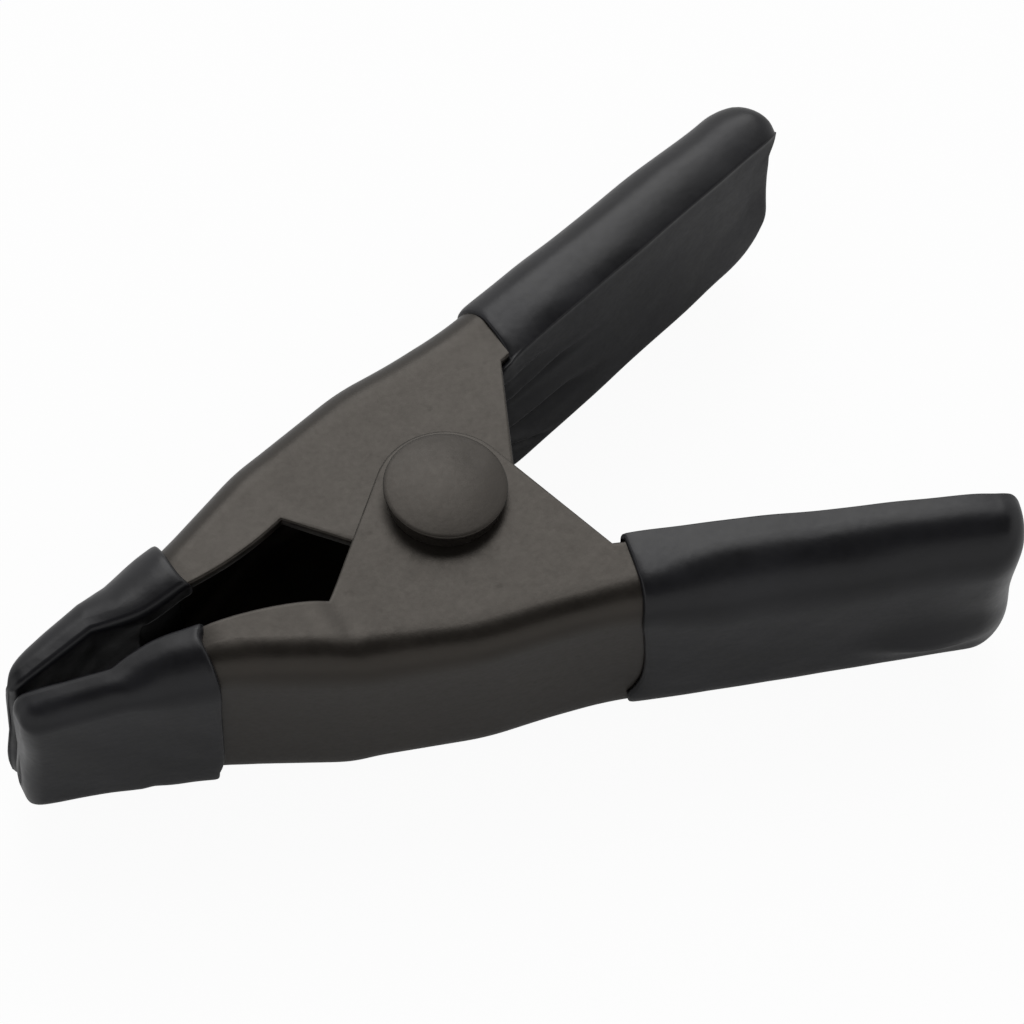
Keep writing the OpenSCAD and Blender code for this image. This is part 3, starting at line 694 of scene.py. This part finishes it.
def tip_ring(x, side, wall, mouth_share, lining, bridge):
    """One ring (x, v, z) of a nose sleeve, this thick over the steel."""
    heel = np.clip((-ACROSS - HEEL_ACROSS) / (1 - HEEL_ACROSS), 0, 1) ** 2
    heel = heel * np.clip((RISE - HEEL_RISE) / (1 - HEEL_RISE), 0, 1)
    lean = TIP_LEAN[side] * (1 - np.exp(-LEAN_RISE * RISE)) + TIP_TWIST[side] * (1 - ACROSS) * RISE
    lean = lean + TIP_HEEL[side] * heel
    place = x - mouth_share * lean
    stretch = back_stretch(place, side)
    at_mouth = ease(1 - (TIP_MOUTH[side] - x) / TIP_MOUTH_LONG)
    edge_wall = wall * (1 - TIP_EDGE_THIN * at_mouth)
    low, high = jaw_edge(place) - edge_wall, back_v(place, side) + wall * stretch
    half = half_width(place, side) + wall
    from_end = place + TIP_END[side]
    tall, wall_share = high - low, min(wall / TIP_WALL, 1)
    low = low + np.minimum(round_off(from_end, TIP_EDGE_END, TIP_EDGE_END), TIP_EDGE_SHARE * tall)
    high = high - np.minimum(round_off(from_end, *TIP_END_ROUND[side]), TIP_BACK_SHARE * tall)
    high = high - TIP_MOUTH_THIN[side] * wall_share * math.exp((x - TIP_MOUTH[side]) / TIP_FADE)
    pad = (TIP_LOW_PAD[side] - TIP_HEEL_THIN[side] * at_mouth) * wall_share
    half = half + np.where(ACROSS > 0, -round_off(from_end, TIP_UPPER_END, TIP_UPPER_END),
                           pad - round_off(from_end, TIP_LOWER_END, TIP_LOWER_END))
    tall = high - low
    edge_r = np.minimum(TIP_EDGE_R[side], TIP_EDGE_SHARE * tall)
    up_r, down_r = TIP_ROUND[side]
    most = np.maximum(tall - edge_r - TIP_LEAST_FLANGE, TIP_EDGE_SHARE * tall)
    back_r = np.minimum(np.where(ACROSS > 0, up_r, down_r), most)
    drop_r = back_r * np.where(ACROSS > 0, TIP_DROP[side][0] / up_r, TIP_DROP[side][1] / down_r)
    tilt = TIP_TILT[side] * np.clip((tall - TIP_TILT_FROM) / TIP_TILT_OVER, 0, 1)
    ring = skin_ring(low, high, half, edge_r, back_r, drop_r, tilt, TIP_TILT_REACH)
    low, half = low[OPEN], half[OPEN] - tilt[OPEN]
    inner_v = back_v(place[OPEN], side) - SHEET * stretch[OPEN] - lining
    inner_half = half_width(place[OPEN], side) - SHEET - lining
    lined = lined_path(low, half, edge_r[OPEN], inner_half, np.maximum(inner_v, low))
    deep = np.clip((tall[OPEN] - TIP_SAG_FROM) / TIP_SAG_OVER, 0, 1)
    across = ring[OPEN].copy()
    across[:, 0] += TIP_SAG * deep * (1 - OPEN_K ** 2) ** 2
    ring[OPEN] = lined + (across - lined) * bridge
    return np.column_stack([place, ring])


def quarter_turn(cuts):
    return np.linspace(0, math.pi / 2, cuts)


def slant_left(past_mouth):
    """How much of the mouth's slant is left this far past the mouth."""
    return ease(1 - past_mouth / SLANT_REACH)


def nose_sleeve(side):
    """A nose's sleeve, from its lining at the steel's end to the mouth and back outside to its blunt end."""
    mouth, end, seed = TIP_MOUTH[side], TIP_END[side], TIP_SEED + side
    rings = []
    for x in np.linspace(-JAW_REACH - TIP_STEEL_GAP, mouth - TIP_INSIDE_FROM, TIP_LINING_CUTS):
        rings.append(tip_ring(x, side, TIP_FIT, slant_left(mouth - x), TIP_FIT, 0.0))
    thin = TIP_WALL * (1 - TIP_RIM_THIN)
    outside = [(mouth - TIP_RIM * (1 - math.cos(a)), TIP_FIT + (thin - TIP_FIT) * math.sin(a))
               for a in quarter_turn(MOUTH_CUTS)]
    by_mouth, by_bridge, by_body, by_end = TIP_CUTS
    stops = np.concatenate([
        np.linspace(mouth - TIP_OUTSIDE_FROM, BRIDGE_FROM, by_mouth),
        np.linspace(BRIDGE_FROM, BRIDGE_TO, by_bridge)[1:],
        np.linspace(BRIDGE_TO, TIP_END_LONG - end, by_body)[1:],
        TIP_END_LONG * (1 - np.sin(quarter_turn(by_end)[1:])) - end + LAST_GAP])
    outside += [(x, TIP_WALL * (1 - TIP_RIM_THIN * math.exp((x - mouth) / TIP_FADE))) for x in stops]
    for x, wall in outside:
        bridge = ease((BRIDGE_FROM - x) / (BRIDGE_FROM - BRIDGE_TO))
        lining = TIP_FIT + (TIP_INNER_WALL - TIP_FIT) * min(wall / TIP_WALL, 1)
        ring = tip_ring(x, side, wall, slant_left(mouth - x), lining, bridge)
        settle = ease((mouth - x) / TIP_FADE)
        soft = uneven(ring, TIP_LUMPS, seed)
        ring[:, 1:] += outward(ring[:, 1:]) * (soft * settle)[:, None]
        wave = WAVE_DEEP * np.cos((ring[:, 2] - WAVE_TOP) * 2 * math.pi / WAVE_SIZE)
        ring[:, 0] += ease((x + end - WAVE_LONG) / -WAVE_LONG) * wave
        slant = NOSE_SLANT[side] * np.clip(0.5 - ring[:, 2] / NOSE_SLANT_WIDE, 0, 1)
        ring[:, 0] -= ease((x + end - NOSE_SLANT_LONG) / -NOSE_SLANT_LONG) * slant
        ring[:, 0] += (1 - settle) * uneven(ring, TIP_RIM_LUMPS, seed)
        rings.append(ring)
    rings = [in_row(r, side) for r in rings]
    piece = dipped_piece(SIDE_NAME[side] + "_tip_skin", rings, BLACK_VINYL, 0.0)
    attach(piece, BODY_OF[side])
    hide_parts(SIDE_NAME[side] + "_tip_sleeve")


VINYL_DARK = (0.0065, 0.0065, 0.0075, 1)
VINYL_PALE = (0.0105, 0.0105, 0.0125, 1)
VINYL_BLOOM, BLOOM_SHARE = (0.022, 0.022, 0.025, 1), 0.5
VINYL_DULLNESS, VINYL_SHINE, OPEN_SIDE_DULL = 0.36, 0.27, 0.2
FLOW_MM, BLOOM_MM, PORE_MM, WRINKLE_MM = 7, 13, 0.7, 3.2
FLOW_DULL, BLOOM_DULL, PORE_DULL = 0.12, 0.10, 0.12
PORE_DEEP, WRINKLE_DEEP, VINYL_FORCE = 0.018, 0.09, 0.6

vinyl = Finish("black_vinyl")
flow = vinyl.cloud(FLOW_MM, 2.0)
bloom = vinyl.cloud(BLOOM_MM, 4.0)
pores = vinyl.cloud(PORE_MM, 2.0)
on_open_side = vinyl.node("ShaderNodeAttribute", {"attribute_name": "open_side"}, {}, "Fac")
skin_tone = vinyl.between(vinyl.steps(flow, 0.3, 0.7), VINYL_DARK, VINYL_PALE)
skin_tone = vinyl.between(vinyl.steps(bloom, 0.52, 0.75) * BLOOM_SHARE, skin_tone, VINYL_BLOOM)
skin_rough = VINYL_DULLNESS + on_open_side * OPEN_SIDE_DULL + (flow - 0.5) * FLOW_DULL
skin_rough = skin_rough + (bloom - 0.5) * BLOOM_DULL + (pores - 0.5) * PORE_DULL
wrinkles = vinyl.relief(vinyl.cloud(WRINKLE_MM, 2.0), WRINKLE_DEEP, VINYL_FORCE)
BLACK_VINYL = vinyl.surface(
    Base_Color=skin_tone, Roughness=skin_rough, Specular_IOR_Level=VINYL_SHINE,
    Normal=vinyl.relief(pores, PORE_DEEP, VINYL_FORCE, wrinkles))

for half_side in (OUTER, INNER):
    nose_sleeve(half_side)

# ---------------------------------------------------------------- the handle grips
# The handles are dipped in the same vinyl. The skin is stretched in a few folds at the mouth, closes over the
# channel's open side, and a soft drop is left at the blind end where the dip ran off.
GRIP_WALL, GRIP_THIN, GRIP_FIT = 0.74, 0.22, 0.07
GRIP_MOUTH = {OUTER: 16.9, INNER: 16.7}
GRIP_END = {OUTER: 58.8, INNER: 58.6}
GRIP_BOW = 1.2
GRIP_ROUND, GRIP_MOUTH_ROUND = {OUTER: (6.5, 4.6), INNER: (4.6, 4.6)}, 4.3
GRIP_TILT = {OUTER: 0.35, INNER: 0.75}
HEEL_MORE = {OUTER: (0.3, 0.3), INNER: (-0.15, 1.5)}
END_MORE = {OUTER: (-0.55, -0.4), INNER: (0.0, 0.7)}
POCKET, GRIP_CURL = {OUTER: 0.0, INNER: 3.0}, {OUTER: 0.0, INNER: 1.4}
HEEL_LAP = {OUTER: 0.0, INNER: 0.35}
END_SKEW = {OUTER: (0.0, 0.0), INNER: (-0.9, 1.6)}
MOUTH_LIP, MOUTH_ARC = {OUTER: 1.0, INNER: 0.0}, {OUTER: 0.45, INNER: 0.75}
END_PULL = {OUTER: 0.35, INNER: 0.0}
END_ROUND = {OUTER: (1.2, 4.4, 4.0, 2.4, 5.0), INNER: (1.0, 4.6, 3.4, 2.0, 8.0)}
DROP = {OUTER: ((57.0, 10.4, 11.0), (2.0, 2.6, 3.2), 0.3),
        INNER: ((58.6, 9.9, 10.0), (1.3, 1.3, 1.6), 0.6)}
DENT = {OUTER: ((49.5, 17.0, -4.4), (6.0, 3.0, 2.2), -1.6),
        INNER: ((44.0, 16.3, 3.0), (7.0, 3.0, 4.0), -0.3)}
FOLDS = ((2.4, 0.07, 7.5, 0.7, 1.3), (-3.2, 0.19, 8.0, 1.0, 2.1),
         (-6.6, 0.62, 4.5, 0.6, 1.2), (6.0, 0.1, 5.0, 0.6, 0.4))
RIDGE_SHARE, RIDGE_AWAY = 0.5, 2
GRIP_SAG, MOUTH_SAG, SAG_FADE, SAG_END = 0.35, 0.4, 6, 4
GRIP_EDGE_R, GRIP_EDGE_SHARE, GRIP_BACK_SHARE = 0.2, 0.2, 0.8
GRIP_TILT_FROM, GRIP_TILT_OVER, GRIP_TILT_REACH = 2, 4, 4.0
BOW_SIDES, CURL_RISE, WEB_RISE, LAP_FADE = 0.55, 0.10, 0.999, 1.2
GRIP_RIM, GRIP_FADE, GRIP_SETTLE, GRIP_BLIND = 0.35, 2.5, 1.2, 2.2
GRIP_INSIDE_FROM, GRIP_OUTSIDE_FROM, GRIP_MOUTH_LONG, GRIP_END_LONG = 0.3, 0.6, 10, 6.2
GRIP_SEED, GRIP_LUMPS, GRIP_RIM_LUMPS = 31, ((0.09, 12, 0), (0.04, 5, 5)), ((0.08, 6, 9),)
TAIL_LONG, PULL_TOP, PULL_WIDE, SKEW_FROM, SKEW_OVER = 5, 1, 5.0, 6, 4
GRIP_LINING_CUTS, GRIP_CUTS = 30, (30, 40, 24)


def grip_ring(along, side, wall):
    """One ring (along, square, z) of a handle grip, this thick over the steel."""
    edge_long, back_long, back_deep, up_long, down_long = END_ROUND[side]
    up_more, down_more = HEEL_MORE[side]
    up_end, down_end = END_MORE[side]
    past_mouth = np.maximum(along - GRIP_MOUTH[side], 0)
    to_end = 1 - np.clip((along - HEEL_REACH) / (HANDLE_REACH - HEEL_REACH), 0, 1)
    lower = (1 - np.clip(ACROSS, -1, 1)) / 2
    depth = handle_flange(along) + to_end * (up_more + (down_more - up_more) * lower)
    depth = depth + (1 - to_end) * (up_end + (down_end - up_end) * lower)
    depth = depth + HEEL_LAP[side] * (1 - lower) * np.exp(-past_mouth / LAP_FADE)
    low, high = HANDLE_DEPTH - depth - wall, HANDLE_DEPTH + DEEPER[side] + wall
    from_end = GRIP_END[side] - GRIP_WALL + wall - along
    low = low + round_off(from_end, edge_long, edge_long)
    high = high - round_off(from_end, back_long, back_deep)
    draw_up, draw_down = round_off(from_end, up_long, up_long), round_off(from_end, down_long, down_long)
    half = HALF_OF[side] + wall - np.where(ACROSS > 0, draw_up, draw_down)
    tall = high - low
    edge_r = np.minimum(GRIP_EDGE_R, GRIP_EDGE_SHARE * tall)
    up_r, down_r = GRIP_ROUND[side]
    up_r = GRIP_MOUTH_ROUND + (up_r - GRIP_MOUTH_ROUND) * ease(past_mouth / GRIP_MOUTH_LONG)
    back_r = np.minimum(np.where(ACROSS > 0, up_r, down_r), GRIP_BACK_SHARE * tall)
    tilt = GRIP_TILT[side] * np.clip((tall - GRIP_TILT_FROM) / GRIP_TILT_OVER, 0, 1)
    ring = skin_ring(low, high, half, edge_r, back_r, back_r, tilt, GRIP_TILT_REACH)
    z, past_mouth = ring[OPEN, 1], past_mouth[OPEN]
    sag = (GRIP_SAG + MOUTH_SAG * np.exp(-past_mouth / SAG_FADE)) * (1 - OPEN_K ** 2) ** 2
    for start, drift, length, wide, deep in FOLDS:
        away = (z - start + drift * (along[OPEN] - GRIP_MOUTH[side])) / wide
        groove = np.exp(-away ** 2) - RIDGE_SHARE * np.exp(-(away - RIDGE_AWAY) ** 2)
        sag = sag + deep * groove * np.exp(-(past_mouth / length) ** 2) * (1 - OPEN_K ** 6)
    ring[OPEN, 0] += sag * np.clip(from_end[OPEN] / SAG_END, 0, 1)
    return np.column_stack([along, ring])


def mouth_line(side):
    """How far the grip's mouth stands back from its place, at each point round the skin."""
    over_web = BOW_SIDES + (1 - BOW_SIDES) * np.cos(ACROSS * math.pi / 2)
    bow = GRIP_BOW * np.where(RISE >= WEB_RISE, over_web, np.sin(RISE * math.pi / 2) * BOW_SIDES)
    bow = bow - GRIP_CURL[side] * np.exp(-(RISE / CURL_RISE) ** 2)
    rise = np.clip(RISE, 0, 1)
    bow = bow - MOUTH_LIP[side] * np.clip(-ACROSS, 0, 1) ** 4 * rise
    bow = bow + MOUTH_ARC[side] * np.sin(math.pi * rise)
    bow[OPEN] = -GRIP_CURL[side] - (POCKET[side] - GRIP_CURL[side]) * (1 - OPEN_K ** 12)
    return bow


def handle_grip(side):
    """A handle's grip, from its inside at the steel's end to the mouth and back outside to its round end."""
    mouth, end, seed = GRIP_MOUTH[side], GRIP_END[side], GRIP_SEED + side
    bow = mouth_line(side)
    rings = []
    for along in np.linspace(STEEL_END + GRIP_BLIND, mouth + GRIP_INSIDE_FROM, GRIP_LINING_CUTS):
        rings.append(grip_ring(along + bow * slant_left(along - mouth), side, GRIP_FIT))
    thin = GRIP_WALL - GRIP_THIN
    outside = [(mouth + GRIP_RIM * (1 - math.cos(a)), GRIP_FIT + (thin - GRIP_FIT) * math.sin(a))
               for a in quarter_turn(MOUTH_CUTS)]
    by_mouth, by_body, by_end = GRIP_CUTS
    stops = np.concatenate([
        np.linspace(mouth + GRIP_OUTSIDE_FROM, mouth + GRIP_MOUTH_LONG, by_mouth),
        np.linspace(mouth + GRIP_MOUTH_LONG, end - GRIP_END_LONG, by_body)[1:],
        end - GRIP_END_LONG * (1 - np.sin(quarter_turn(by_end)[1:])) - LAST_GAP])
    outside += [(a, GRIP_WALL - GRIP_THIN * math.exp((mouth - a) / GRIP_FADE)) for a in stops]
    for along, wall in outside:
        ring = grip_ring(along + bow * slant_left(along - mouth), side, wall)
        settle = ease((along - mouth) / GRIP_SETTLE)
        soft = uneven(ring, GRIP_LUMPS, seed)
        for centre, reach, height in (DROP[side], DENT[side]):
            soft += height * bump_at(ring, centre, reach)
        ring[:, 1:] += outward(ring[:, 1:]) * (soft * settle)[:, None]
        near_end = ease((along - end + TAIL_LONG) / TAIL_LONG)
        ring[:, 0] -= near_end * END_PULL[side] * np.exp(-((ring[:, 2] - PULL_TOP) / PULL_WIDE) ** 2)
        pulled_in, out_above = END_SKEW[side]
        ring[:, 0] += near_end * (pulled_in + out_above * ease((ring[:, 2] - SKEW_FROM) / SKEW_OVER))
        ring[:, 0] += (1 - settle) * uneven(ring, GRIP_RIM_LUMPS, seed)
        rings.append(ring)
    placed = []
    for ring in rings:
        x, v = on_handle(ring[:, 0], ring[:, 1])
        placed.append(in_row(np.column_stack([x, v, ring[:, 2]]), side))
    piece = dipped_piece(SIDE_NAME[side] + "_grip_skin", placed, BLACK_VINYL, 1.0)
    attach(piece, BODY_OF[side])
    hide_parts(SIDE_NAME[side] + "_handle_grip")


for half_side in (OUTER, INNER):
    handle_grip(half_side)

# ---------------------------------------------------------------- the table, the lamp and the camera
# The clip lies on a plain white table in a small photo tent. One large soft lamp hangs behind it, and a
# dark card overhead is there only for the bends to mirror. The camera stands in front and looks down at
# about 62 degrees.
TABLE_SIZE = 6.0
TABLE_DARK, TABLE_PALE = (0.93, 0.93, 0.93, 1), (0.95, 0.95, 0.95, 1)
TABLE_WHITE, TABLE_SHEEN = 0.95, 0.05
PLAIN_WHITE = (1, 1, 1, 1)
bpy.ops.mesh.primitive_plane_add(size=TABLE_SIZE, location=(0, 0, 0))
table = bpy.context.object
table.name = "table_top"
white = Finish("table_white")
grain = white.cloud(30, 2.0)
table.data.materials.append(white.surface(
    Base_Color=white.between(grain, TABLE_DARK, TABLE_PALE), Roughness=0.9, Specular_IOR_Level=0.0))


def seen_by(finish, camera_share, glossy_share):
    """How much of a plain white is seen in place of the lit surface, by the camera and in reflections."""
    share = 0.0
    for name, part in (("Camera", camera_share), ("Glossy", glossy_share), ("Transmission", camera_share)):
        share = finish.node("ShaderNodeLightPath", {}, {}, "Is %s Ray" % name) * part + share
    return share


white.feed(white.tree.nodes["Material Output"].inputs["Surface"], white.node("ShaderNodeMixShader", {}, {
    0: seen_by(white, TABLE_WHITE, TABLE_SHEEN),
    1: Tone(white, white.tree.nodes["Principled BSDF"].outputs[0]),
    2: white.node("ShaderNodeEmission", {}, {"Color": PLAIN_WHITE, "Strength": 1.0})}))

target = Vector(tuple(PIVOT * MM))
LAMP_PLACE, LAMP_WIDE, LAMP_TALL, LAMP_LEVEL = Vector((0.242, 0.566, 0.788)), 0.62, 0.8, 3.2
lamp = bpy.data.lights.new("soft_lamp_above", "AREA")
lamp.shape, lamp.size, lamp.size_y = "RECTANGLE", LAMP_WIDE, LAMP_TALL
lamp.energy = LAMP_LEVEL * math.pi * LAMP_WIDE * LAMP_TALL
stand = bpy.data.objects.new("soft_lamp_above", lamp)
bpy.context.collection.objects.link(stand)
stand.location = LAMP_PLACE
stand.rotation_euler = (target - LAMP_PLACE).to_track_quat("-Z", "Y").to_euler()

CARD_LOW, CARD_HIGH = Vector((-0.49, -1.02, 1.30)), Vector((0.14, 0.30, 1.35))
CARD_WIDTH, CARD_TURN = 3.2, math.radians(-26)
CARD_DARK, CARD_PALE = (0.010, 0.010, 0.010, 1), (0.014, 0.014, 0.014, 1)
card_side = Vector((math.cos(CARD_TURN), math.sin(CARD_TURN), 0)) * CARD_WIDTH / 2
card_mesh = bpy.data.meshes.new("dark_card")
card_corners = [CARD_LOW - card_side, CARD_LOW + card_side, CARD_HIGH + card_side, CARD_HIGH - card_side]
card_mesh.from_pydata(card_corners, [], [(0, 1, 2, 3)])
dark = Finish("card_black")
card_mesh.materials.append(dark.surface(
    Base_Color=dark.between(dark.cloud(60, 2.0), CARD_DARK, CARD_PALE),
    Roughness=0.9, Specular_IOR_Level=0.0))
card = bpy.data.objects.new("dark_card", card_mesh)
bpy.context.collection.objects.link(card)
card.visible_camera = card.visible_diffuse = card.visible_shadow = False

world = bpy.data.worlds.new("room")
bpy.context.scene.world = world
ROOM_LIGHT, ROOM_WHITE = 0.4, 1.0
room = Finish("room", world)
room_glow = room.tree.nodes["Background"]
more = ROOM_WHITE - ROOM_LIGHT
room.feed(room_glow.inputs["Strength"], seen_by(room, more, more) + ROOM_LIGHT)
room.feed(room_glow.inputs["Color"], PLAIN_WHITE)

VIEW_TURN, VIEW_HEIGHT, VIEW_ROLL = (math.radians(a) for a in (-25.890, 62.071, -0.484))
VIEW_DISTANCE, VIEW_FOCAL, PHOTO_SIDE = 0.4, 3746.8, 1024
PIVOT_PIXEL = (446.007, 547.954)
back = Vector((math.sin(VIEW_TURN) * math.cos(VIEW_HEIGHT), -math.cos(VIEW_TURN) * math.cos(VIEW_HEIGHT),
               math.sin(VIEW_HEIGHT)))
level_right = Vector((math.cos(VIEW_TURN), math.sin(VIEW_TURN), 0))
level_up = back.cross(level_right)
right = level_right * math.cos(VIEW_ROLL) + level_up * math.sin(VIEW_ROLL)
up = level_up * math.cos(VIEW_ROLL) - level_right * math.sin(VIEW_ROLL)
lens = bpy.data.cameras.new("photo_camera")
lens.sensor_width, lens.sensor_fit = 36.0, "HORIZONTAL"
lens.lens = VIEW_FOCAL * lens.sensor_width / PHOTO_SIDE
lens.shift_x = (PHOTO_SIDE / 2 - PIVOT_PIXEL[0]) / PHOTO_SIDE
lens.shift_y = (PIVOT_PIXEL[1] - PHOTO_SIDE / 2) / PHOTO_SIDE
lens.clip_start, lens.clip_end = 0.01, 20
camera = bpy.data.objects.new("photo_camera", lens)
bpy.context.collection.objects.link(camera)
turn_to = Matrix((right, up, back)).transposed().to_4x4()
camera.matrix_world = Matrix.Translation(target + back * VIEW_DISTANCE) @ turn_to
bpy.context.scene.camera = camera
bpy.context.scene.view_settings.view_transform = "Standard"

bpy.context.view_layer.update()
